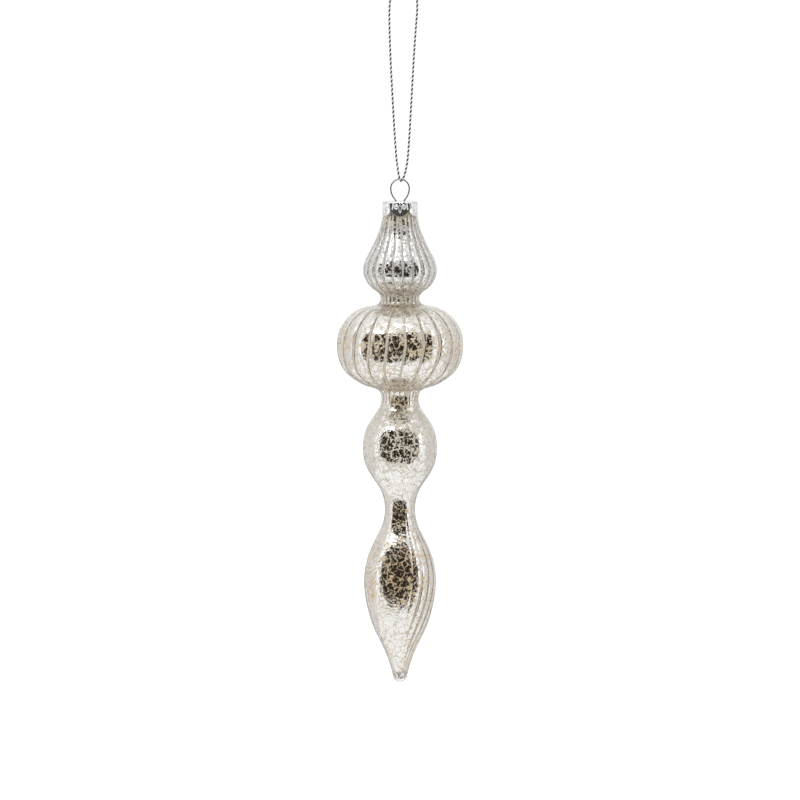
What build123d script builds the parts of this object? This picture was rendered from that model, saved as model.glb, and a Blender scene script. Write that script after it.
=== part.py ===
from build123d import *
import math
import os

# Icicle hanging ornament: a one-piece blown glass finial, silvered inside, with a stamped
# crown cap, a spring wire hanger and a twisted cord loop.
# Frame: origin where the cord loop hangs on its hook, +Z up, front towards -Y. Millimetres.
# Heights called "below" are measured downwards from the top of the cap.

os.makedirs("parts", exist_ok=True)

# ---- driving dimensions ----
RING_TOP = -88.0             # top of the hanger's ring, below the hook
RING_RADIUS = 4.2            # centre line of the ring's upper half
RING_RISE = 5.7              # centre of the ring above the cap
WIRE = 0.7                   # spring wire diameter
LEG_SPREAD = 1.9             # each leg's hole, from the axis
SHOULDER_RADIUS = 1.1        # where the ring turns down into a leg
LEG_BEND = 1.2               # where a leg starts to splay, below the cap
LEG_BEND_RADIUS = 3.0
LEG_END = (4.6, 13.5)        # tip of a leg: out from the axis, below the cap

CAP_RADIUS = 8.0
CAP_FLARE = 8.4              # radius at the foot of the petals
CAP_HEIGHT = 6.8
CAP_SHEET = 0.3
CAP_EDGE = 0.9               # rounding between the top and the skirt
HOLE = 1.1                   # hole for a leg
PETALS = 6
NOTCH = 3.2                  # height of the notch between two petals

NECK_RADIUS = 7.4            # glass inside the cap
NECK_TOP = 0.6               # rim of the glass, below the cap
NECK_FOOT = 5.2              # where the neck starts to widen
WALL = 1.5                   # glass
CAVITY_TIP = 218.0           # end of the hollow, below the cap
FILM_GAP = 0.02
FILM = 0.15                  # silver film and the lacquer behind it
FILM_TOP = 3.0

CORD = 0.9
KNOT = 1.7                   # radius of the knot
KNOT_CENTRE = (1.75, 0.0, 2.1)
TAIL = 8.0                   # length of each tail of the knot
TAIL_LEANS = (-20, 14)       # from upright, degrees

CAP_TOP = RING_TOP - WIRE / 2 - RING_RADIUS - RING_RISE
RING_CENTRE = CAP_TOP + RING_RISE

# Outer face of the glass as (radius, below), from the cap's foot down to the tip:
# the widest place of each bulb and each waist by name, and the curve between them.
ONION = (16.85, 31.2)
WAIST_1 = (8.85, 44.6)
PUMPKIN = (28.75, 65.6)
WAIST_2 = (8.4, 89.8)
EGG = (16.85, 112.8)
WAIST_3 = (6.85, 140.8)
DROP = (16.35, 175.6)
TIP = 219.8
TIP_LENGTH = 1.0             # least height of a rounded end

STATIONS = [
    (8.05, 7.4), (8.8, 11.1), (10.8, 16.6), (13.5, 22.1), (16.0, 27.2), ONION,
    (15.6, 36.1), (12.5, 39.9), (9.6, 42.3), WAIST_1,
    (9.7, 46.4), (15.0, 48.1), (20.6, 50.3), (24.9, 54.2), (27.8, 59.3), PUMPKIN,
    (27.8, 72.6), (25.0, 77.7), (20.8, 81.3), (14.5, 84.5), (9.7, 86.4), WAIST_2,
    (9.2, 93.7), (12.0, 98.1), (15.1, 103.2), EGG,
    (15.9, 119.6), (12.7, 125.8), (9.3, 130.9), WAIST_3,
    (7.8, 146.8), (11.6, 155.1), (15.1, 164.0), DROP,
    (15.0, 185.1), (12.0, 194.8), (7.9, 203.4), (4.8, 211.2), (3.3, 217.0),
]


def moved_in(stations, depth):
    """The same stations moved into the glass by depth, square to the wall."""
    inner = []
    for before, (radius, below), after in zip(stations, stations[1:], stations[2:]):
        run_out = after[0] - before[0]
        run_down = after[1] - before[1]
        length = math.hypot(run_out, run_down)
        inner.append((radius - depth * run_down / length, below + depth * run_out / length))
    return inner


def wall_outline(depth, top_below, tip_below):
    """Half outline of a body whose face lies depth inside the outer face of the glass."""
    neck = NECK_RADIUS - depth
    skin = moved_in([(NECK_RADIUS, NECK_FOOT)] + STATIONS + [(0, TIP)], depth)
    skin = [(radius, -below) for radius, below in skin if below < tip_below - TIP_LENGTH]
    end_radius, end_height = skin[-1]
    rise = end_height + tip_below
    ball = (end_radius ** 2 + rise ** 2) / (2 * rise)
    with BuildSketch(Plane.XZ) as outline:
        with BuildLine():
            Line((0, -top_below), (neck, -top_below))
            Line((neck, -top_below), (neck, -NECK_FOOT))
            Spline((neck, -NECK_FOOT), *skin)
            RadiusArc(skin[-1], (0, -tip_below), ball)
            Line((0, -tip_below), (0, -top_below))
        make_face()
    return outline.sketch


def hollow(outer_depth, inner_depth, top_below, outer_tip, inner_tip):
    """A thin turned wall between two depths in the glass, open at the top."""
    with BuildPart(mode=Mode.PRIVATE) as wall:
        revolve(wall_outline(outer_depth, top_below, outer_tip), axis=Axis.Z)
        revolve(wall_outline(inner_depth, top_below, inner_tip), axis=Axis.Z, mode=Mode.SUBTRACT)
    return wall.part.moved(Location((0, 0, CAP_TOP)))


# ---- glass ----
with BuildPart() as glass_body:
    add(hollow(0.0, WALL, NECK_TOP, TIP, CAVITY_TIP))
glass_body.part.label = "glass_body"

# ---- silver film on the inside of the glass ----
with BuildPart() as silver_lining:
    film_outside = WALL + FILM_GAP
    film_tip = CAVITY_TIP - 2 * FILM_GAP
    add(hollow(film_outside, film_outside + FILM, FILM_TOP, film_tip, film_tip - FILM))
silver_lining.part.label = "silver_lining"

# ---- crown cap: a drawn cup with a skirt of rounded petals ----
half_petal = CAP_FLARE * math.sin(math.pi / PETALS)
petal_end = (half_petal ** 2 + NOTCH ** 2) / (2 * NOTCH)     # radius of a petal's round end
with BuildPart() as cap:
    with BuildSketch(Plane.XZ) as cup:
        with BuildLine():
            Line((0, 0), (CAP_RADIUS - CAP_EDGE, 0))
            corner = (CAP_RADIUS, -CAP_EDGE)
            RadiusArc((CAP_RADIUS - CAP_EDGE, 0), corner, CAP_EDGE)
            Line(corner, (CAP_RADIUS, -CAP_HEIGHT / 2))
            Line((CAP_RADIUS, -CAP_HEIGHT / 2), (CAP_FLARE, -CAP_HEIGHT))
            Line((CAP_FLARE, -CAP_HEIGHT), (CAP_FLARE - CAP_SHEET, -CAP_HEIGHT))
            Line((CAP_FLARE - CAP_SHEET, -CAP_HEIGHT), (CAP_RADIUS - CAP_SHEET, -CAP_HEIGHT / 2))
            inner_corner = (CAP_RADIUS - CAP_SHEET, -CAP_EDGE)
            Line((CAP_RADIUS - CAP_SHEET, -CAP_HEIGHT / 2), inner_corner)
            inner_edge = (CAP_RADIUS - CAP_EDGE, -CAP_SHEET)
            RadiusArc(inner_corner, inner_edge, -(CAP_EDGE - CAP_SHEET))
            Line(inner_edge, (0, -CAP_SHEET))
            Line((0, -CAP_SHEET), (0, 0))
        make_face()
    revolve(axis=Axis.Z)
    for petal in range(PETALS):
        notch = Plane.XZ.rotated((0, 0, 360 / PETALS * (petal + 0.5)))
        with BuildSketch(notch.offset(CAP_RADIUS / 2)):
            with Locations((0, -CAP_HEIGHT)):
                Rectangle(2 * half_petal, 2 * NOTCH)
            with Locations((-half_petal, petal_end - CAP_HEIGHT), (half_petal, petal_end - CAP_HEIGHT)):
                Circle(petal_end, mode=Mode.SUBTRACT)
        extrude(amount=CAP_RADIUS, mode=Mode.SUBTRACT)
    with Locations((-LEG_SPREAD, 0, 0), (LEG_SPREAD, 0, 0)):
        Hole(HOLE / 2, depth=CAP_HEIGHT)
cap.part.position = (0, 0, CAP_TOP)
cap.part.label = "cap"

# ---- hanger: one spring wire, a ring above the cap and two legs splayed inside the neck ----
# The ring's upper half is a half circle. Each flank closes below it on a larger radius, and a
# small shoulder turns it straight down in the middle of its hole.
foot_down = RING_RISE + CAP_SHEET / 2
lean = 2 * math.atan((RING_RADIUS - LEG_SPREAD) / foot_down)     # steepest lean of a flank
flank_radius = foot_down / math.sin(lean) - SHOULDER_RADIUS
half_lean = lean / 2
with BuildPart() as hanger_wire:
    with BuildLine(Plane.XZ) as wire_line:
        ThreePointArc((RING_RADIUS, RING_CENTRE), (0, RING_CENTRE + RING_RADIUS),
                      (-RING_RADIUS, RING_CENTRE))
        for side in (1, -1):
            flank_top = (side * RING_RADIUS, RING_CENTRE)
            flank_middle = (side * (RING_RADIUS - flank_radius * (1 - math.cos(half_lean))),
                            RING_CENTRE - flank_radius * math.sin(half_lean))
            flank_foot = (side * (RING_RADIUS - flank_radius * (1 - math.cos(lean))),
                          RING_CENTRE - flank_radius * math.sin(lean))
            ThreePointArc(flank_top, flank_middle, flank_foot)
            leg_top = (side * LEG_SPREAD, RING_CENTRE - foot_down)
            shoulder_middle = (side * (LEG_SPREAD + SHOULDER_RADIUS * (1 - math.cos(half_lean))),
                               leg_top[1] + SHOULDER_RADIUS * math.sin(half_lean))
            ThreePointArc(flank_foot, shoulder_middle, leg_top)
            FilletPolyline(leg_top, (side * LEG_SPREAD, CAP_TOP - LEG_BEND),
                           (side * LEG_END[0], CAP_TOP - LEG_END[1]), radius=LEG_BEND_RADIUS)
    leg_tip = wire_line.line @ 0
    with BuildSketch(Plane(origin=leg_tip, z_dir=wire_line.line % 0)):
        Circle(WIRE / 2)
    sweep(path=wire_line.line)
hanger_wire.part.label = "hanger_wire"

# ---- cord loop: down the left, in front of the ring, under it, and up behind on the right ----
ROUTE = [
    (0.9, 0.0, 1.7),
    (-1.0, 0.0, 0.75),
    (-4.75, 0.0, -4.2),
    (-4.9, 0.0, -24.0),
    (-2.1, 0.0, -75.0),
    (-0.9, -0.8, -84.7),
    (-0.1, -1.45, -89.25),
    (1.0, 1.45, -89.25),
    (2.75, 0.8, -84.7),
    (4.0, 0.0, -75.0),
    (6.6, 0.0, -26.0),
    (8.45, 0.0, -5.2),
    (4.5, 0.0, 0.6),
    (2.6, 0.0, 1.7),
]


def arc_radii(route):
    """The radius at each inner point: as large as its two runs allow."""
    radii = []
    for before, here, after in zip(route, route[1:], route[2:]):
        run_in = Vector(here) - Vector(before)
        run_out = Vector(after) - Vector(here)
        shorter = min(run_in.length, run_out.length)
        half_turn = math.radians(run_in.get_angle(run_out) / 2)
        radii.append(0.45 * shorter / math.tan(half_turn))
    return radii


cord_radii = arc_radii(ROUTE)
with BuildPart() as hanging_cord:
    with BuildLine() as cord_line:
        FilletPolyline(*ROUTE, radius=cord_radii)
    with BuildSketch(Plane(origin=cord_line.line @ 0, z_dir=cord_line.line % 0)):
        Circle(CORD / 2)
    sweep(path=cord_line.line)
hanging_cord.part.label = "hanging_cord"

# ---- knot that closes the loop, with its two tails ----
with BuildPart() as cord_knot:
    with Locations(KNOT_CENTRE):
        Sphere(KNOT)
    for tail_lean in TAIL_LEANS:
        tail = Plane(origin=KNOT_CENTRE).rotated((0, tail_lean, 0))
        with BuildSketch(tail):
            Circle(CORD / 2)
        extrude(amount=TAIL)
cord_knot.part.label = "cord_knot"

PARTS = [glass_body, silver_lining, cap, hanger_wire, hanging_cord, cord_knot]
for piece in PARTS:
    export_step(piece.part, "parts/" + piece.part.label + ".step")

print("cord radii:", [round(radius, 2) for radius in cord_radii])
cord_length = sum(edge.length for edge in cord_line.line.edges())
section = math.pi * CORD ** 2 / 4
print("cord length:", round(cord_length, 2))
print("cord volume over section x length:", round(hanging_cord.part.volume / (section * cord_length), 4))
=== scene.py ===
import math

import bmesh
import bpy
import numpy as np
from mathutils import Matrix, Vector


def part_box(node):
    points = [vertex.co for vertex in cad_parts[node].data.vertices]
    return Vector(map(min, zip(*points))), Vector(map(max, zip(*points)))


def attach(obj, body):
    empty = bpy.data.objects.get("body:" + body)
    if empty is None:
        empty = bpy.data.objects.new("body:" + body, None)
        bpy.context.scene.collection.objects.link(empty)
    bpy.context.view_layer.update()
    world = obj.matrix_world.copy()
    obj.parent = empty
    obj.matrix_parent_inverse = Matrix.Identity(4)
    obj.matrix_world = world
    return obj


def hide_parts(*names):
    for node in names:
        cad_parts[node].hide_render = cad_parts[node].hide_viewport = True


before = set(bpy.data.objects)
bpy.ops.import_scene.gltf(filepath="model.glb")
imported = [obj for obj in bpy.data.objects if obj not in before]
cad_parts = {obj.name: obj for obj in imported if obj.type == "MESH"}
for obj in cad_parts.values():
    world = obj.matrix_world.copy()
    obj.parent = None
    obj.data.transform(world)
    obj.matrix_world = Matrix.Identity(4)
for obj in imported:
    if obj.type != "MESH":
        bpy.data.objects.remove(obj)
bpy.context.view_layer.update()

# Icicle hanging ornament: looks. Everything is in metres in the CAD's frame, +Z up, front at -Y.
# Azimuth of a point on the turned glass is measured from the front (-Y) towards +X.

MM = 0.001

# ---- places worked out from the frame ----
RING_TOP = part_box("hanger_wire")[1].z
cap_low, cap_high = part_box("cap")
CAP_TOP = cap_high.z
CAP_FOOT = cap_low.z
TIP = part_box("glass_body")[0].z

# ---- glass and its silver film ----
FLUTES = 20
FLUTE_COLUMNS = 12           # columns of the mesh in one flute
GLASS_ROWS = 200
GROOVE_WIDTH = 0.42          # half width of the notch between two flutes, mm
NO_LINE = 9.0                # the mark "line" where no dull line is near
FILM = 0.15 * MM             # thickness of the silver film with its backing
FILM_SEAT = 0.04 * MM        # how far the film's face is inside the glass
# Heights below the cap's top, in mm. First the two creases of the outline, with a brown ring of
# painted shade in each, then pairs, from where a change starts to where it is full.
CREASES = (47.9, 84.2)
ONION_TOP = (8.0, 13.0)        # the cracks turn from cream to grey
ONION_FOOT = (34.0, 41.0)      # and back to cream
DROP_SILVER = (128.0, 136.0)   # the silver is broken in finer patches
DROP_FLUTES = (140.0, 150.0)   # the flutes fade on the left side
BURNT_TIP = (213.5, 216.5)
# The columns of the table:
# - how far the row is below the cap's top, in mm;
# - how far a flute arches, how deep the notch beside it is and the half width of the dull line in
#   the notch, in mm;
# - how far the flutes have turned by there, in degrees;
# - how broken the silver is, where 0 is whole;
# - how golden the cracks are, from 0 to 1.
FLUTE_TABLE = np.array([
    (0.0, 0.10, 0.00, 0.20, 5.4, 1.6, 0.9),
    (8.0, 0.20, 0.10, 0.20, 5.4, 1.2, 0.6),
    (31.0, 0.30, 0.16, 0.26, 5.4, 0.8, 0.2),
    (45.0, 0.20, 0.10, 0.12, 5.4, 1.0, 0.5),
    (50.0, 0.24, 0.14, 0.20, 5.4, 0.8, 0.6),
    (55.0, 0.30, 0.18, 0.36, 5.4, 0.4, 0.6),
    (65.0, 0.34, 0.20, 0.60, 5.2, 1.0, 0.8),
    (73.0, 0.32, 0.20, 0.46, 2.4, 0.7, 0.6),
    (84.0, 0.20, 0.12, 0.26, -1.0, 0.9, 0.8),
    (90.0, 0.06, 0.03, 0.10, -3.0, 0.7, 0.9),
    (94.0, 0.02, 0.00, 0.02, -3.6, 1.0, 0.6),
    (96.0, 0.01, 0.00, 0.00, -4.0, 2.2, 0.3),
    (100.0, 0.00, 0.00, 0.00, -4.3, 2.0, 0.3),
    (103.0, 0.00, 0.00, 0.00, -4.6, 0.9, 0.4),
    (119.0, 0.00, 0.00, 0.00, -6.0, 0.9, 0.3),
    (127.0, 0.00, 0.00, 0.00, -7.0, 0.2, 0.7),
    (137.0, 0.00, 0.00, 0.00, -8.0, 0.2, 1.0),
    (152.0, 0.10, 0.01, 0.00, -10.0, 0.4, 0.9),
    (172.0, 0.14, 0.02, 0.00, -13.0, 0.5, 1.0),
    (182.0, 0.18, 0.12, 0.34, -18.0, 0.4, 1.0),
    (189.0, 0.20, 0.14, 0.34, -24.0, 0.2, 0.8),
    (202.0, 0.14, 0.10, 0.30, -35.0, 0.3, 1.0),
    (219.0, 0.00, 0.00, 0.10, -46.0, 0.5, 0.8),
])

# ---- cord ----
CORD = 0.9 * MM              # diameter over both plies
CORD_PITCH = 2.0 * MM        # one turn of the two plies
# The bright and the dark ply: number, distance from the cord's line and radius, in cord diameters.
PLIES = ((0, 0.12, 0.42), (1, 0.11, 0.44))
PLY_STEP = 0.11 * MM         # from one ring of the plies' mesh to the next
# The route of the CAD tube, in mm.
ROUTE = [
    (0.9, 0.0, 1.7),
    (-1.0, 0.0, 0.75),
    (-4.75, 0.0, -4.2),
    (-4.9, 0.0, -24.0),
    (-2.1, 0.0, -75.0),
    (-0.9, -0.8, -84.7),
    (-0.1, -1.45, -89.25),
    (1.0, 1.45, -89.25),
    (2.75, 0.8, -84.7),
    (4.0, 0.0, -75.0),
    (6.6, 0.0, -26.0),
    (8.45, 0.0, -5.2),
    (4.5, 0.0, 0.6),
    (2.6, 0.0, 1.7),
]
KNOT_CENTRE = Vector((1.75, 0.0, 2.1)) * MM

# ---- cap ----
PETALS = 6
PETAL_COLUMNS = 56           # columns of the mesh in one petal
CAP_SHEET = 0.3 * MM
CAP_RADIUS = 8.0 * MM
CAP_FLARE = 0.4 * MM         # how far the petals stand out at their feet
CAP_EDGE = 0.9 * MM          # radius of the rounded rim
CAP_BEND = (CAP_TOP + CAP_FOOT) / 2   # the petals begin to part and to flare here
NOTCH = 3.2 * MM             # height of the notch between two petals
RELIEF = 0.18 * MM           # height of the stamped lines
LEG_SPREAD = 1.9 * MM        # from the axis to each leg of the hanger
LEG_HOLE = 0.55 * MM         # radius of the hole for it

# ---- studio ----
WHITE_IN_MIRRORS = (0.92, 0.92, 0.92, 1)
WHITE_ON_MATT = (1.06, 1.06, 1.06, 1)   # as it lights matt surfaces, and as the camera sees it
# The patches that mirrors show, round the middle of the widest bulb: azimuths and elevations in
# degrees, distance in metres, and radiance.
PATCH_CENTRE = (0.0, 0.0, CAP_TOP - 0.066)
PATCHES = (
    ("dark_room", (-70, 66), (-35, 44), 1.06, (0.030, 0.020, 0.012)),
    ("soft_box", (-20, 20), (44, 52), 1.08, (1.6, 1.6, 1.6)),
    ("strip_light", (-36, 36), (66, 68.5), 1.08, (42.0, 42.0, 42.0)),
    ("left_light", (-84, -79), (-20, 50), 1.08, (1.5, 1.5, 1.5)),
    ("right_light", (72, 78), (-10, 55), 1.08, (1.7, 1.7, 1.7)),
    ("left_wall", (-150, -92), (-35, 40), 1.30, (0.74, 0.73, 0.72)),
    ("right_wall", (92, 150), (-35, 40), 1.30, (0.72, 0.71, 0.70)),
    ("grey_wall", (155, 205), (-40, 1), 1.35, (0.45, 0.445, 0.44)),
)


# ==== small tools ====

def link(obj):
    bpy.context.scene.collection.objects.link(obj)
    return obj


def mesh_object(name, points, faces):
    mesh = bpy.data.meshes.new(name)
    mesh.from_pydata([tuple(point) for point in points], [], faces)
    mesh.update()
    for polygon in mesh.polygons:
        polygon.use_smooth = True
    return link(bpy.data.objects.new(name, mesh))


def point_attribute(obj, name, values):
    attribute = obj.data.attributes.new(name, "FLOAT", "POINT")
    attribute.data.foreach_set("value", np.asarray(values, np.float32))


def smoothstep(low, high, x):
    t = np.clip((x - low) / (high - low), 0.0, 1.0)
    return t * t * (3.0 - 2.0 * t)


def grid_faces(rows, columns, wrap=True):
    """Quads of a grid of points stored row by row."""
    faces = []
    last = columns if wrap else columns - 1
    for row in range(rows - 1):
        here = row * columns
        below = here + columns
        for column in range(last):
            beside = (column + 1) % columns
            faces.append((here + column, below + column, below + beside, here + beside))
    return faces


class Material:
    """A node material that is built one node at a time."""

    def __init__(self, name):
        self.material = bpy.data.materials.new(name)
        self.material.use_nodes = True
        self.tree = self.material.node_tree
        self.shader = self.tree.nodes["Principled BSDF"]

    def add(self, kind, inputs=None, **settings):
        node = self.tree.nodes.new(kind)
        for key, value in settings.items():
            setattr(node, key, value)
        for key, value in (inputs or {}).items():
            self.feed(node, key, value)
        return node

    def feed(self, node, key, value):
        socket = node.inputs[key]
        if isinstance(value, bpy.types.NodeSocket):
            self.tree.links.new(value, socket)
        else:
            socket.default_value = value

    def set(self, **values):
        for key, value in values.items():
            self.feed(self.shader, key.replace("_", " "), value)

    def math(self, operation, a, b=0.0, clamp=False):
        node = self.add("ShaderNodeMath", {0: a, 1: b}, operation=operation, use_clamp=clamp)
        return node.outputs[0]

    def map(self, value, low, high, to_low=0.0, to_high=1.0, smooth=True):
        kind = "SMOOTHSTEP" if smooth else "LINEAR"
        node = self.add("ShaderNodeMapRange", interpolation_type=kind)
        for key, number in (("Value", value), ("From Min", low), ("From Max", high),
                            ("To Min", to_low), ("To Max", to_high)):
            self.feed(node, key, number)
        return node.outputs["Result"]

    def mix(self, factor, a, b):
        """The colour a where the factor is 0 and b where it is 1."""
        node = self.add("ShaderNodeMix", data_type="RGBA")
        self.feed(node, 0, factor)
        self.feed(node, 6, a)
        self.feed(node, 7, b)
        return node.outputs[2]

    def noise(self, vector, scale, detail=2.0, roughness=0.5):
        return self.add("ShaderNodeTexNoise", {
            "Vector": vector, "Scale": scale, "Detail": detail, "Roughness": roughness})

    def mark(self, name):
        """One of the values that the mesh carries at its points."""
        return self.add("ShaderNodeAttribute", attribute_name=name).outputs["Fac"]

    def scaled(self, vector, scale):
        node = self.add("ShaderNodeVectorMath", {0: vector}, operation="SCALE")
        self.feed(node, "Scale", scale)
        return node.outputs[0]

    def position(self):
        """Object coordinates in millimetres."""
        return self.scaled(self.add("ShaderNodeTexCoord").outputs["Object"], 1.0 / MM)

    def bump(self, height, strength, distance, normal=None):
        """A normal for bumps that are distance high, in mm."""
        node = self.add("ShaderNodeBump", {
            "Height": height, "Strength": strength, "Distance": distance * MM})
        if normal is not None:
            self.feed(node, "Normal", normal)
        return node.outputs["Normal"]


# ==== camera ====

def make_camera():
    distance = 3.0
    elevation = math.radians(4.5)
    view_width = 0.3644          # at the object
    aim = Vector((0.0, 0.0, RING_TOP - 0.1010))
    data = bpy.data.cameras.new("camera")
    data.sensor_width = 36.0
    data.lens = data.sensor_width * distance / view_width
    data.clip_end = 100.0
    camera = link(bpy.data.objects.new("camera", data))
    camera.location = aim + Vector((0.0, -math.cos(elevation), math.sin(elevation))) * distance
    camera.rotation_euler = (aim - camera.location).to_track_quat("-Z", "Y").to_euler()
    bpy.context.scene.camera = camera


# ==== cord ====

def route_line():
    """Points along the smooth line of the cord, read from its NURBS spline."""
    curve = bpy.data.curves.new("cord_route", "CURVE")
    curve.dimensions = "3D"
    curve.resolution_u = 64
    spline = curve.splines.new("NURBS")
    spline.points.add(len(ROUTE) - 1)
    for point, place in zip(spline.points, ROUTE):
        point.co = (*(Vector(place) * MM), 1.0)
    spline.order_u = 3
    spline.use_endpoint_u = True
    holder = link(bpy.data.objects.new("cord_route", curve))
    mesh = bpy.data.meshes.new_from_object(holder)
    points = np.array([tuple(v.co) for v in mesh.vertices])
    bpy.data.objects.remove(holder)
    bpy.data.meshes.remove(mesh)
    bpy.data.curves.remove(curve)
    return points


def evenly(points, step):
    """The same line with points a step apart."""
    lengths = np.linalg.norm(np.diff(points, axis=0), axis=1)
    along = np.concatenate([[0.0], np.cumsum(lengths)])
    stations = np.linspace(0.0, along[-1], int(along[-1] / step) + 1)
    return np.stack([np.interp(stations, along, values) for values in points.T], axis=1)


def frames(points):
    """Two directions square to the line at each point, carried along without twisting."""
    tangents = np.gradient(points, axis=0)
    tangents /= np.linalg.norm(tangents, axis=1)[:, None]
    side = np.cross(tangents[0], (0.0, 1.0, 0.1))   # any direction that no line starts in
    side /= np.linalg.norm(side)
    sides = []
    for tangent in tangents:
        side = side - tangent * np.dot(side, tangent)
        side /= np.linalg.norm(side)
        sides.append(side.copy())
    sides = np.array(sides)
    return sides, np.cross(tangents, sides)


def tube(points, radius, corners=10):
    """Points and faces of a closed tube round a line."""
    sides, ups = frames(points)
    rails = []
    for corner in range(corners):
        angle = 2 * math.pi * corner / corners
        rails.append(points + (sides * math.cos(angle) + ups * math.sin(angle)) * radius)
    verts = np.stack(rails, axis=1).reshape(-1, 3)
    faces = grid_faces(len(points), corners)
    faces.append(tuple(range(corners)))
    faces.append(tuple(reversed(range(len(verts) - corners, len(verts)))))
    return verts, faces


def twisted(points, pitch, offset, phase):
    """A line that winds round another one."""
    sides, ups = frames(points)
    lengths = np.linalg.norm(np.diff(points, axis=0), axis=1)
    angle = 2 * math.pi * np.concatenate([[0.0], np.cumsum(lengths)]) / pitch + phase
    return points + (sides * np.cos(angle)[:, None] + ups * np.sin(angle)[:, None]) * offset


def join_tubes(name, tubes):
    """One object from several tubes, with each tube's number as the attribute ply."""
    verts = []
    faces = []
    plies = []
    for ply, (points, ring_faces) in tubes:
        start = len(verts)
        verts.extend(points)
        faces.extend(tuple(index + start for index in face) for face in ring_faces)
        plies.extend([ply] * len(points))
    obj = mesh_object(name, verts, faces)
    point_attribute(obj, "ply", plies)
    return obj


def plies_along(line):
    """The cord's two plies wound along a line."""
    even = evenly(line, PLY_STEP)
    tubes = []
    for ply, offset, radius in PLIES:
        middle = twisted(even, CORD_PITCH, CORD * offset, math.pi * ply)
        tubes.append((ply, tube(middle, CORD * radius)))
    return tubes


def make_cord():
    line = route_line()
    material = cord_material()
    cord = join_tubes("twisted_cord", plies_along(line))
    cord.data.materials.append(material)
    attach(cord, "cord")
    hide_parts("hanging_cord")
    knot = make_knot(line, material)


def make_knot(line, material):
    """A barrel of turns round the two ends of the cord, and the two tails that come out above."""
    turns = 2.6
    wrap_radius = 0.85 * MM
    rise = 0.82 * MM             # of one turn
    tail = 7.6 * MM              # from the barrel's middle to the end of a tail
    steps = np.linspace(0.0, turns * 2 * math.pi, 90)
    centre = np.array(KNOT_CENTRE)
    wrap = np.stack([
        centre[0] + wrap_radius * np.cos(steps),
        centre[1] + wrap_radius * np.sin(steps),
        centre[2] + rise * (steps / (2 * math.pi) - turns / 2),
    ], axis=1)
    tubes = plies_along(wrap)
    for side, start, lean in ((-1, line[0], 20.0), (1, line[-1], 14.0)):
        slope = math.radians(lean)
        top = centre + np.array((side * math.sin(slope), 0.0, math.cos(slope))) * tail
        middle = centre + np.array((side * 0.25, 0.1 * side, 0.6)) * MM
        bow = (middle + top) / 2 + np.array((-0.35 * side, 0.15 * side, 0.2)) * MM
        t = np.linspace(0.0, 1.0, 40)[:, None]
        into = start * (1 - t) ** 2 + 2 * t * (1 - t) * (centre + start) / 2 + t ** 2 * middle
        out = middle * (1 - t) ** 2 + 2 * t * (1 - t) * bow + t ** 2 * top
        tubes += plies_along(np.concatenate([into, out[1:]]))
    knot = join_tubes("barrel_knot", tubes)
    knot.data.materials.append(material)
    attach(knot, "cord")
    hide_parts("cord_knot")
    return knot


def cord_material():
    """One bright and one dark metallic ply, wrapped with fine foil."""
    m = Material("metallic_cord")
    ply = m.mark("ply")
    place = m.position()
    wrap = m.add("ShaderNodeTexWave", {
        "Vector": place, "Scale": 1.6, "Distortion": 2.5, "Detail": 2.0, "Detail Scale": 2.0,
    }, bands_direction="Z").outputs["Fac"]
    grain = m.noise(place, 3.0, 3.0).outputs["Fac"]
    bright = m.mix(grain, (0.52, 0.52, 0.53, 1), (0.86, 0.86, 0.87, 1))
    dark = m.mix(grain, (0.002, 0.002, 0.002, 1), (0.012, 0.012, 0.012, 1))
    m.set(Base_Color=m.mix(ply, bright, dark), Metallic=m.math("SUBTRACT", 0.15, ply, True),
          Roughness=m.map(grain, 0.3, 0.7, 0.28, 0.5), Specular_IOR_Level=0.15,
          Normal=m.bump(wrap, 0.6, 0.08))
    return m.material


# ==== glass ====

def wall_profile(node, facing, rows):
    """Radius and height, in metres, down one wall of a turned CAD body: facing is 1 out, -1 in."""
    least_step = 0.25 * MM       # rings of the CAD mesh that are closer are left out
    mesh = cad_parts[node].data
    places = np.array([tuple(vertex.co) for vertex in mesh.vertices])
    levels = {}
    for polygon in mesh.polygons:
        centre = polygon.center
        outward = Vector((centre.x, centre.y, 0.0)).normalized().dot(polygon.normal)
        if outward * facing < 0.01:
            continue
        for index in polygon.vertices:
            x, y, z = places[index]
            levels.setdefault(round(z, 5), []).append(math.hypot(x, y))
    heights = np.array(sorted(levels, reverse=True))
    radii = np.array([float(np.mean(levels[height])) for height in heights])
    keep = np.concatenate([[True], np.hypot(np.diff(heights), np.diff(radii)) > least_step])
    keep[-1] = True
    heights = heights[keep]
    radii = radii[keep]
    along = np.concatenate([[0.0], np.cumsum(np.hypot(np.diff(heights), np.diff(radii)))])
    stations = closer_in_bends(along, radii, heights, rows)
    return hermite(along, radii, stations), hermite(along, heights, stations)


def closer_in_bends(along, radii, heights, rows):
    """Stations along an outline, up to four times closer where it bends on 5 mm or less."""
    tight = 5.0 * MM
    window = 15                  # stations that the crowding is averaged over
    even = np.linspace(0.0, along[-1], 800)
    slope = np.unwrap(np.arctan2(np.gradient(hermite(along, radii, even)),
                                 np.gradient(hermite(along, heights, even))))
    bend = np.abs(np.gradient(slope, even)) * tight
    smooth = np.convolve(np.minimum(bend, 1.0), np.ones(window) / window, mode="same")
    crowd = np.concatenate([[0.0], np.cumsum(1.0 + 3.0 * smooth)[:-1]])
    return np.interp(np.linspace(0.0, crowd[-1], rows), crowd, even)


def hermite(x, y, at):
    """A smooth curve through the points (x, y)."""
    slope = np.gradient(y, x)
    i = np.clip(np.searchsorted(x, at) - 1, 0, len(x) - 2)
    span = x[i + 1] - x[i]
    t = (at - x[i]) / span
    return ((1 + 2 * t) * (1 - t) ** 2 * y[i] + t * (1 - t) ** 2 * span * slope[i]
            + t ** 2 * (3 - 2 * t) * y[i + 1] + t ** 2 * (t - 1) * span * slope[i + 1])


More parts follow.
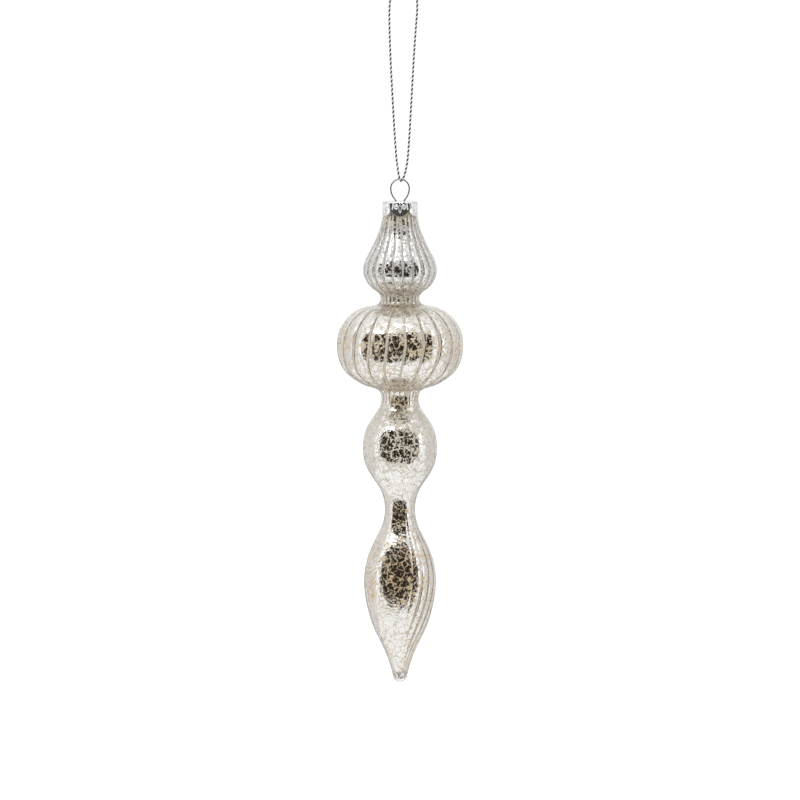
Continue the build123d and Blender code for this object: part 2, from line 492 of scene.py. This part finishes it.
def flute_columns():
    """Across one flute and over to the next: -1 and 1 on the crowns and 0 in the groove."""
    even = np.linspace(-1.0, 1.0, FLUTE_COLUMNS, endpoint=False)
    return np.sign(even) * np.abs(even) ** 1.6


def fluted_wall(radii, heights, arch_share, notch_share, shift=0.0):
    """Points of a fluted wall, row by row, moved out by shift, and four marks at each point.

    "line" is the distance from the groove over the half width of its dull line, "flank" is 1
    just to the right of a groove, "crackle" says how broken the silver is and "gold" how
    golden the cracks are.
    """
    across = np.tile(flute_columns(), FLUTES)
    azimuths = np.repeat(np.arange(FLUTES), FLUTE_COLUMNS) + across / 2
    azimuths = azimuths * 2 * math.pi / FLUTES
    slope_r = np.gradient(radii)
    slope_z = np.gradient(heights)
    length = np.hypot(slope_r, slope_z)
    below = (CAP_TOP - heights) / MM
    arch, notch, line, turn, crackle, gold = [
        np.interp(below, FLUTE_TABLE[:, 0], column) for column in FLUTE_TABLE.T[1:]]

    # How far the wall dips under the crowns of the flutes, in mm. Near the axis it dips less.
    half_flute = math.pi * radii / FLUTES / MM
    from_groove = np.abs(across)[None, :] * half_flute[:, None]
    width = np.minimum(GROOVE_WIDTH, 0.3 * half_flute)[:, None]
    taper = np.clip(radii / (4.0 * MM), 0.0, 1.0)[:, None]
    dip = arch_share * arch[:, None] * (1.0 - np.abs(across)[None, :]) ** 2
    dip += notch_share * notch[:, None] * np.exp(-(from_groove / width) ** 2)
    turned = azimuths[None, :] + np.radians(turn)[:, None]
    on_drop = smoothstep(*DROP_FLUTES, below)[:, None]
    blown_out = on_drop * (1.0 - smoothstep(-0.1, 0.6, np.sin(turned)))
    dip *= 1.0 - 0.9 * blown_out
    moved = shift - dip * taper * MM
    r = radii[:, None] - moved * (slope_z / length)[:, None]
    z = heights[:, None] + moved * (slope_r / length)[:, None]
    points = np.stack([r * np.sin(turned), -r * np.cos(turned), z], axis=2).reshape(-1, 3)

    from_line = from_groove / np.maximum(line, 0.02)[:, None]
    from_line = np.minimum(from_line + NO_LINE * blown_out, NO_LINE)
    flank_middle = 0.8           # mm from the groove
    flank_width = 0.35
    right_side = np.exp(-((from_groove - flank_middle) / flank_width) ** 2)
    right_side = (across > 0)[None, :] * right_side
    right_side = right_side * np.clip(notch / 0.2, 0.0, 1.0)[:, None] * (1.0 - blown_out)
    marks = {
        "line": from_line,
        "flank": right_side,
        "crackle": np.repeat(crackle[:, None], len(across), axis=1),
        "gold": np.repeat(gold[:, None], len(across), axis=1),
    }
    return points, marks


def fluted_shell(name, outer, inner, rows):
    """A closed shell between two walls that meet at their open tops."""
    segments = FLUTES * FLUTE_COLUMNS
    count = rows * segments
    faces = grid_faces(rows, segments)
    faces += [tuple(reversed([index + count for index in face])) for face in faces]
    for column in range(segments):
        beside = (column + 1) % segments
        faces.append((column, beside, count + beside, count + column))
    return mesh_object(name, np.concatenate([outer, inner]), faces)


def close_tip(obj):
    """Merges the points that meet on the axis and makes the normals agree."""
    same_place = 0.004 * MM
    work = bmesh.new()
    work.from_mesh(obj.data)
    bmesh.ops.remove_doubles(work, verts=work.verts, dist=same_place)
    bmesh.ops.recalc_face_normals(work, faces=work.faces)
    work.to_mesh(obj.data)
    work.free()


def make_glass():
    """The glass: its flutes are deep on the inside and faint on the outside."""
    outer, _ = fluted_wall(*wall_profile("glass_body", 1, GLASS_ROWS), 0.3, 0.15)
    inner, _ = fluted_wall(*wall_profile("glass_body", -1, GLASS_ROWS), 1.0, 1.0)
    glass = fluted_shell("blown_glass", outer, inner, GLASS_ROWS)
    close_tip(glass)
    glass.data.materials.append(glass_material())
    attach(glass, "glass")
    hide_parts("glass_body")


def make_lining():
    """The silver film: its face is a hair inside the glass, so that no air shows between them."""
    radii, heights = wall_profile("glass_body", -1, GLASS_ROWS)
    film_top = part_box("silver_lining")[1].z
    covered = heights < film_top
    radii = radii[covered]
    heights = heights[covered]
    outer, marks = fluted_wall(radii, heights, 1.0, 1.0, FILM_SEAT)
    inner, _ = fluted_wall(radii, heights, 1.0, 1.0, FILM_SEAT - FILM)
    lining = fluted_shell("silvered_lining", outer, inner, len(radii))
    for name, values in marks.items():
        point_attribute(lining, name, np.tile(values.reshape(-1), 2))
    close_tip(lining)
    lining.data.materials.append(silvering_material())
    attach(lining, "glass")
    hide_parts("silver_lining")


def glass_material():
    """Clear blown glass with faint waves."""
    m = Material("clear_glass")
    place = m.position()
    waves = m.noise(place, 0.12, 2.0).outputs["Fac"]
    m.set(Base_Color=(1.0, 1.0, 1.0, 1), Transmission_Weight=1.0, IOR=1.48, Roughness=0.0,
          Normal=m.bump(waves, 0.5, 0.6))
    return m.material


def torn_place(m, place, scale, amount):
    """Places pushed about by noise, so that the crackle has no straight lines."""
    warp = m.noise(place, scale, 3.0).outputs["Color"]
    grey = (0.5, 0.5, 0.5)
    centred = m.add("ShaderNodeVectorMath", {0: warp, 1: grey}, operation="SUBTRACT").outputs[0]
    push = m.scaled(centred, amount)
    return m.add("ShaderNodeVectorMath", {0: place, 1: push}, operation="ADD").outputs[0]


def chips(m, place, size, crack, unevenness):
    """1 on chips about size mm wide and 0 in the cracks, which are crack times unevenness wide."""
    cells = m.add("ShaderNodeTexVoronoi", {
        "Vector": place, "Scale": 1.0 / size}, feature="DISTANCE_TO_EDGE")
    half = m.math("MULTIPLY", unevenness, crack / size / 2)
    return m.map(m.math("SUBTRACT", cells.outputs["Distance"], half), -0.02, 0.03)


def shards(m, place, size, share):
    """1 on a share of little angular flakes about size mm wide, where the silver has come off."""
    cells = m.add("ShaderNodeTexVoronoi", {"Vector": place, "Scale": 1.0 / size})
    choice = m.add("ShaderNodeSeparateColor", {"Color": cells.outputs["Color"]}).outputs["Red"]
    return m.math("LESS_THAN", choice, share)


def silvering_material():
    """Antiqued silver: mirror chips broken by cream and gold crackle."""
    m = Material("silvering")
    place = m.position()
    height = m.add("ShaderNodeSeparateXYZ", {0: place}).outputs["Z"]
    top = CAP_TOP / MM

    def under(start, full):
        """0 above one height and 1 under the other, both in mm below the cap's top."""
        return m.map(height, top - full, top - start, 1.0, 0.0)

    above_waist = m.map(height, top - ONION_FOOT[1], top - ONION_FOOT[0])
    onion = m.math("MULTIPLY", above_waist, under(*ONION_TOP))
    line, flank, crackle, gold = [m.mark(name) for name in ("line", "flank", "crackle", "gold")]
    torn = torn_place(m, place, 0.9, 1.7)
    patchy = m.noise(place, 0.30, 3.0, 0.6).outputs["Fac"]
    grain = m.noise(place, 1.3, 3.0, 0.6).outputs["Fac"]
    cloud = m.noise(place, 0.16, 3.0, 0.55).outputs["Fac"]

    # The mirror: big chips, middle chips inside them and bare shards, all wider where the silver
    # is more broken, but whole on some of the flanks and gone in the dull lines.
    finer = m.map(under(*DROP_SILVER), 0.0, 1.0, 0.5, 0.65, False)
    broken = m.add("ShaderNodeMix", {0: finer, 2: patchy, 3: grain}, data_type="FLOAT").outputs[0]
    wide = m.math("MULTIPLY", m.map(broken, 0.38, 0.64, -0.4, 2.4), crackle)
    narrow = m.math("MULTIPLY", m.map(grain, 0.46, 0.72, -1.0, 2.6), crackle)
    big = chips(m, torn, 3.1, 0.46, wide)
    middle = chips(m, torn, 1.8, 0.28, narrow)
    bare = shards(m, torn, 1.4, m.math("MULTIPLY", crackle, 0.06))
    mirror = m.math("MULTIPLY", m.math("MULTIPLY", big, middle), m.math("SUBTRACT", 1.0, bare))
    whole = m.math("MULTIPLY", m.map(flank, 0.35, 0.6), m.map(patchy, 0.40, 0.50))
    mirror = m.math("MAXIMUM", mirror, whole)
    ragged = m.math("ADD", line, m.math("MULTIPLY", grain, 0.5))
    dull = m.map(ragged, 0.95, 1.5, 1.0, 0.0)
    mirror = m.math("MULTIPLY", mirror, m.math("SUBTRACT", 1.0, dull))

    # The backing that shows in the cracks: cream to gold, on the onion grey, and browner where the
    # silver is only thin.
    fleck = m.noise(torn, 0.85, 2.0, 0.6).outputs["Fac"]
    lean = m.math("MULTIPLY", m.math("SUBTRACT", gold, 0.5), 0.3)
    golden = m.map(m.math("ADD", fleck, lean), 0.48, 0.62)
    thin = m.math("MULTIPLY", big, m.math("SUBTRACT", 1.0, middle))
    deep = m.mix(m.map(gold, 0.6, 1.0), (0.93, 0.79, 0.54, 1), (0.90, 0.67, 0.36, 1))
    warm = m.mix(golden, (0.97, 0.915, 0.80, 1), deep)
    warm = m.mix(thin, warm, (0.68, 0.49, 0.28, 1))
    grey = m.mix(golden, (0.93, 0.93, 0.92, 1), (0.80, 0.77, 0.72, 1))
    grey = m.mix(thin, grey, (0.62, 0.58, 0.53, 1))
    in_line = m.mix(onion, (0.85, 0.755, 0.62, 1), (0.68, 0.64, 0.60, 1))
    paint = m.mix(dull, m.mix(onion, warm, grey), in_line)

    # The silver itself, a little tarnished in clouds.
    tarnish = m.map(cloud, 0.35, 0.65)
    silver = m.mix(tarnish, (0.95, 0.935, 0.91, 1), (0.89, 0.86, 0.825, 1))
    colour = m.mix(mirror, paint, silver)

    # Brown rings of painted shade in the two creases, dark specks, and the burnt tip.
    from_creases = [
        m.math("ABSOLUTE", m.math("SUBTRACT", height, top - below)) for below in CREASES]
    # The ring is painted shade: brown darkening along the two creases of the outline.
    crease_shade = m.map(m.math("MINIMUM", *from_creases), 0.2, 1.0, 0.65, 0.0)
    crease_shade = m.math("MULTIPLY", crease_shade, m.map(patchy, 0.35, 0.60, 0.3, 1.0))
    colour = m.mix(crease_shade, colour, (0.52, 0.38, 0.26, 1))
    speck_level = m.map(onion, 0.0, 1.0, 0.71, 0.645, False)
    spots = m.noise(place, 1.8, 2.0, 0.6).outputs["Fac"]
    speck = m.math("GREATER_THAN", spots, speck_level)
    burnt = m.math("MULTIPLY", under(*BURNT_TIP), m.map(grain, 0.42, 0.58))
    stain = m.math("MAXIMUM", m.math("MULTIPLY", speck, 0.8), m.math("MULTIPLY", burnt, 0.75))
    colour = m.mix(stain, colour, (0.12, 0.085, 0.055, 1))

    ripple = m.noise(place, 0.55, 2.0).outputs["Fac"]
    normal = m.bump(ripple, 0.45, 0.20)
    normal = m.bump(mirror, 0.4, 0.04, normal)
    m.set(Base_Color=colour, Metallic=mirror, Roughness=m.map(mirror, 0.0, 1.0, 0.5, 0.05),
          Normal=normal)
    return m.material


# ==== cap ====

def cap_outline():
    """The cap's outside, without flare, from the middle of its top to a foot: (radius, height)."""
    points = [(radius * MM, CAP_TOP) for radius in np.linspace(0.3, 7.0, 12)]
    for angle in np.radians(np.linspace(0, 90, 9))[1:]:
        points.append((CAP_RADIUS - CAP_EDGE + CAP_EDGE * math.sin(angle),
                       CAP_TOP - CAP_EDGE + CAP_EDGE * math.cos(angle)))
    for z in np.linspace(CAP_TOP - CAP_EDGE, CAP_BEND, 26)[1:]:
        points.append((CAP_RADIUS, z))
    for t in np.linspace(0.0, 1.0, 30)[1:]:
        points.append((CAP_RADIUS, CAP_BEND + (CAP_FOOT - CAP_BEND) * t))
    return np.array(points)


def smooth_line(corners, count):
    """A smooth line through a few corners."""
    corners = np.array(corners, float)
    along = np.concatenate([[0.0], np.cumsum(np.linalg.norm(np.diff(corners, axis=0), axis=1))])
    at = np.linspace(0.0, along[-1], count)
    return np.stack([hermite(along, corners[:, k], at) for k in (0, 1)], axis=1)


def emboss_lines():
    """Raised lines of one petal: (line, half width), in mm across and up from the petal's foot.

    Two fern fronds rise from one root and curl outwards, with a bud between them and a ridge
    along each side of the petal.
    """
    thin = 0.19
    thick = 0.26
    stalk = [(0.0, 1.75), (0.45, 2.5), (0.5, 3.3)]
    curl = []
    for angle in np.radians(np.arange(190.0, -361.0, -30.0)):
        reach = 0.28 + 0.85 * (angle + 2 * math.pi) / math.radians(550.0)
        curl.append((1.72 + reach * math.cos(angle), 4.25 + reach * math.sin(angle)))
    frond = smooth_line(stalk + curl, 90)
    ridge = np.array([(3.0, 6.0), (3.15, 4.6), (3.45, 3.4)])
    lines = [(np.array([(0.0, 5.4), (0.0, 4.9)]), thick)]
    for side in (-1, 1):
        lines.append((frond * (side, 1), thin))
        lines.append((ridge * (side, 1), thick))
    return lines


def line_height(points, line, width):
    """A round ridge along a line, at points in the petal's plane."""
    nearest = np.full(len(points), 1e9)
    for a, b in zip(line[:-1], line[1:]):
        run = b - a
        t = np.clip(((points - a) @ run) / max(run @ run, 1e-12), 0.0, 1.0)
        nearest = np.minimum(nearest, np.linalg.norm(points - a - t[:, None] * run, axis=1))
    return np.clip(1.0 - (nearest / (width * 1.5)) ** 2, 0.0, 1.0)


def make_cap():
    """The stamped crown cap: embossed petals with rounded ends, and a hole for each leg."""
    segments = PETALS * PETAL_COLUMNS
    outline = cap_outline()
    azimuths = np.linspace(0.0, 2 * math.pi, segments, endpoint=False)
    pitch = 2 * math.pi / PETALS
    local = (azimuths + pitch / 2) % pitch - pitch / 2
    foot_radius = CAP_RADIUS + CAP_FLARE
    half_petal = foot_radius * math.sin(pitch / 2)
    petal_end = (half_petal ** 2 + NOTCH ** 2) / (2 * NOTCH)
    across = foot_radius * np.sin(np.abs(local))
    lift = petal_end - np.sqrt(np.maximum(petal_end ** 2 - across ** 2, 0.0))
    skirt = np.clip((CAP_BEND - outline[:, 1]) / (CAP_BEND - CAP_FOOT), 0.0, 1.0)
    z = outline[:, 1][:, None] + skirt[:, None] * lift[None, :]
    r = np.repeat(outline[:, 0][:, None], segments, axis=1)
    down = np.clip((CAP_BEND - z) / (CAP_BEND - CAP_FOOT), 0.0, 1.0)
    r = np.where(skirt[:, None] > 0.0, CAP_RADIUS + CAP_FLARE * down ** 1.5, r)

    unrolled = np.repeat(local[None, :], len(outline), axis=0) * CAP_RADIUS / MM
    flat = np.stack([unrolled.ravel(), ((z - CAP_FOOT) / MM).ravel()], axis=1)
    height = np.zeros(len(flat))
    for line, width in emboss_lines():
        height = np.maximum(height, line_height(flat, line, width))
    on_skirt = smoothstep(7.8 * MM, 7.98 * MM, r)
    height = height.reshape(r.shape) * on_skirt
    r_out = r + RELIEF * height
    outside = np.stack([r_out * np.sin(azimuths), -r_out * np.cos(azimuths), z], axis=2)

    # Inside, the sheet's thickness turns from down to inwards round the rim.
    inner_r = np.maximum(r - CAP_SHEET * smoothstep(6.6 * MM, 7.7 * MM, r), 0.25 * MM)
    inner_z = z - CAP_SHEET * (1.0 - smoothstep(6.9 * MM, 7.9 * MM, r))
    inside = np.stack([inner_r * np.sin(azimuths), -inner_r * np.cos(azimuths), inner_z], axis=2)
    rows = len(outline)
    points = np.concatenate([outside.reshape(-1, 3), inside[::-1].reshape(-1, 3)])
    faces = grid_faces(2 * rows, segments)
    for start, turn in ((0, 1), ((2 * rows - 1) * segments, -1)):
        faces.append(tuple(range(start, start + segments))[::-turn])
    cap = mesh_object("crown_cap", points, faces)
    point_attribute(cap, "relief", np.concatenate([height.ravel(), np.zeros(rows * segments)]))
    bore(cap)
    cap.data.materials.append(cap_material())
    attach(cap, "cap")
    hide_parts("cap")


def bore(cap):
    """Cuts the holes for the two legs of the hanger."""
    work = bmesh.new()
    for side in (-1, 1):
        made = bmesh.ops.create_cone(work, segments=32, radius1=LEG_HOLE, radius2=LEG_HOLE,
                                     depth=2 * MM, cap_ends=True)
        bmesh.ops.translate(work, verts=made["verts"], vec=(side * LEG_SPREAD, 0.0, CAP_TOP))
    mesh = bpy.data.meshes.new("drills")
    work.to_mesh(mesh)
    work.free()
    drills = link(bpy.data.objects.new("drills", mesh))
    cut = cap.modifiers.new("holes", "BOOLEAN")
    cut.operation = "DIFFERENCE"
    cut.object = drills
    cut.solver = "EXACT"
    bpy.context.view_layer.update()
    evaluated = cap.evaluated_get(bpy.context.evaluated_depsgraph_get())
    done = bpy.data.meshes.new_from_object(evaluated)
    cap.modifiers.clear()
    cap.data = done
    bpy.data.objects.remove(drills)


def cap_material():
    """Bright stamped sheet, paler and less of a mirror on its raised lines: painted shade between
    them and a painted highlight on them.
    """
    m = Material("cap_metal")
    relief = m.mark("relief")
    place = m.position()
    rub = m.noise(place, 1.2, 4.0, 0.6).outputs["Fac"]
    # Painted shade and highlight: the sheet is darker between the raised lines and paler and less
    # metallic on them.
    colour = m.mix(m.map(relief, 0.0, 0.6), (0.88, 0.88, 0.885, 1), (0.92, 0.92, 0.92, 1))
    m.set(Base_Color=colour, Metallic=m.map(relief, 0.2, 0.8, 0.96, 0.45),
          Roughness=m.map(rub, 0.3, 0.7, 0.08, 0.18),
          Normal=m.bump(rub, 0.3, 0.05))
    return m.material


# ==== hanger ====

def finish_hanger():
    """The CAD wire keeps its shape and gets drawn steel."""
    m = Material("spring_wire")
    place = m.position()
    streak = m.noise(place, 2.5, 3.0).outputs["Fac"]
    colour = m.mix(streak, (0.30, 0.30, 0.30, 1), (0.62, 0.62, 0.63, 1))
    m.set(Base_Color=colour, Metallic=1.0, Roughness=m.map(streak, 0.3, 0.7, 0.16, 0.34),
          Normal=m.bump(streak, 0.3, 0.03))
    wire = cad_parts["hanger_wire"]
    for material_slot in wire.material_slots:
        material_slot.material = m.material


# ==== studio ====

def by_kind_of_surface(tree, in_mirrors, on_matt):
    """A colour that differs between what mirrors show and what lights matt surfaces."""
    path = tree.nodes.new("ShaderNodeLightPath")
    choice = tree.nodes.new("ShaderNodeMix")
    choice.data_type = "RGBA"
    choice.inputs[6].default_value = in_mirrors
    choice.inputs[7].default_value = on_matt
    tree.links.new(path.outputs["Diffuse Depth"], choice.inputs[0])
    return choice.outputs[2]


def emitter(name, radiance):
    """A glowing material that only mirrors tell from the rest of the studio."""
    material = bpy.data.materials.new(name)
    material.use_nodes = True
    tree = material.node_tree
    tree.nodes.clear()
    glow = tree.nodes.new("ShaderNodeEmission")
    out = tree.nodes.new("ShaderNodeOutputMaterial")
    colour = by_kind_of_surface(tree, (*radiance, 1), WHITE_ON_MATT)
    tree.links.new(colour, glow.inputs["Color"])
    tree.links.new(glow.outputs[0], out.inputs["Surface"])
    return material


def dome_patch(name, azimuth, elevation, radius):
    """A piece of a sphere with rounded corners, between two azimuths and two elevations."""
    columns = 61
    rows = 30
    corner = 3.0                 # power of the rounded outline: 2 is an ellipse
    across = np.linspace(-1.0, 1.0, columns)
    share = (1.0 - 0.999 * np.abs(across) ** corner) ** (1.0 / corner)
    half_height = share * (elevation[1] - elevation[0]) / 2
    a = np.radians(np.interp(across, (-1.0, 1.0), azimuth))[None, :]
    up = np.linspace(-1.0, 1.0, rows)[:, None] * half_height[None, :]
    e = np.radians(np.mean(elevation) + up)
    x = PATCH_CENTRE[0] + radius * np.cos(e) * np.sin(a)
    y = PATCH_CENTRE[1] - radius * np.cos(e) * np.cos(a)
    z = PATCH_CENTRE[2] + radius * np.sin(e)
    points = np.stack([x, y, z], axis=2).reshape(-1, 3)
    return mesh_object(name, points, grid_faces(rows, columns, wrap=False))


def reflected(name, azimuth, elevation, radius, radiance):
    """A patch of the studio that only shows in reflections."""
    patch = dome_patch(name, azimuth, elevation, radius)
    patch.data.materials.append(emitter(name, radiance))
    patch.visible_camera = False
    patch.visible_diffuse = False
    patch.visible_shadow = False
    return patch


def make_floor():
    """A plain pale floor far below, which glows a little so that its far end meets the backdrop."""
    reach = 60.0
    depth = TIP - 3.0
    corners = ((-1, -1), (1, -1), (1, 1), (-1, 1))
    points = [(x * reach, y * reach, depth) for x, y in corners]
    floor = mesh_object("floor", points, [(0, 1, 2, 3)])
    paper = Material("floor")
    seen = paper.add("ShaderNodeLightPath").outputs["Is Camera Ray"]
    paper.set(Base_Color=(0.86, 0.86, 0.86, 1), Roughness=0.9, Emission_Color=(1, 1, 1, 1),
              Emission_Strength=paper.map(seen, 0.0, 1.0, 0.03, 0.20, False))
    floor.data.materials.append(paper.material)
    return floor


def make_world():
    """White all round: one white for the camera and matt surfaces, and another in mirrors."""
    world = bpy.data.worlds.new("studio")
    bpy.context.scene.world = world
    world.use_nodes = True
    tree = world.node_tree
    colour = by_kind_of_surface(tree, WHITE_IN_MIRRORS, WHITE_ON_MATT)
    backdrop = tree.nodes.new("ShaderNodeMix")
    backdrop.data_type = "RGBA"
    path = tree.nodes.new("ShaderNodeLightPath")
    tree.links.new(path.outputs["Is Camera Ray"], backdrop.inputs[0])
    tree.links.new(colour, backdrop.inputs[6])
    backdrop.inputs[7].default_value = WHITE_ON_MATT
    tree.links.new(backdrop.outputs[2], tree.nodes["Background"].inputs["Color"])


def make_key_light():
    key = bpy.data.lights.new("key", "AREA")
    key.shape = "RECTANGLE"
    key.size = 0.9
    key.size_y = 0.6
    key.energy = 8.0
    lamp = link(bpy.data.objects.new("key", key))
    lamp.location = (-0.9, -1.0, 0.9)
    aim = Vector((0.0, 0.0, CAP_TOP - 0.1))
    lamp.rotation_euler = (aim - lamp.location).to_track_quat("-Z", "Y").to_euler()


def make_studio():
    patches = [reflected(*row) for row in PATCHES]
    floor = make_floor()
    make_world()
    make_key_light()


def colour_management():
    view = bpy.context.scene.view_settings
    view.view_transform = "Standard"
    view.look = "None"


make_camera()
make_cord()
make_glass()
make_lining()
make_cap()
finish_hanger()
make_studio()
colour_management()
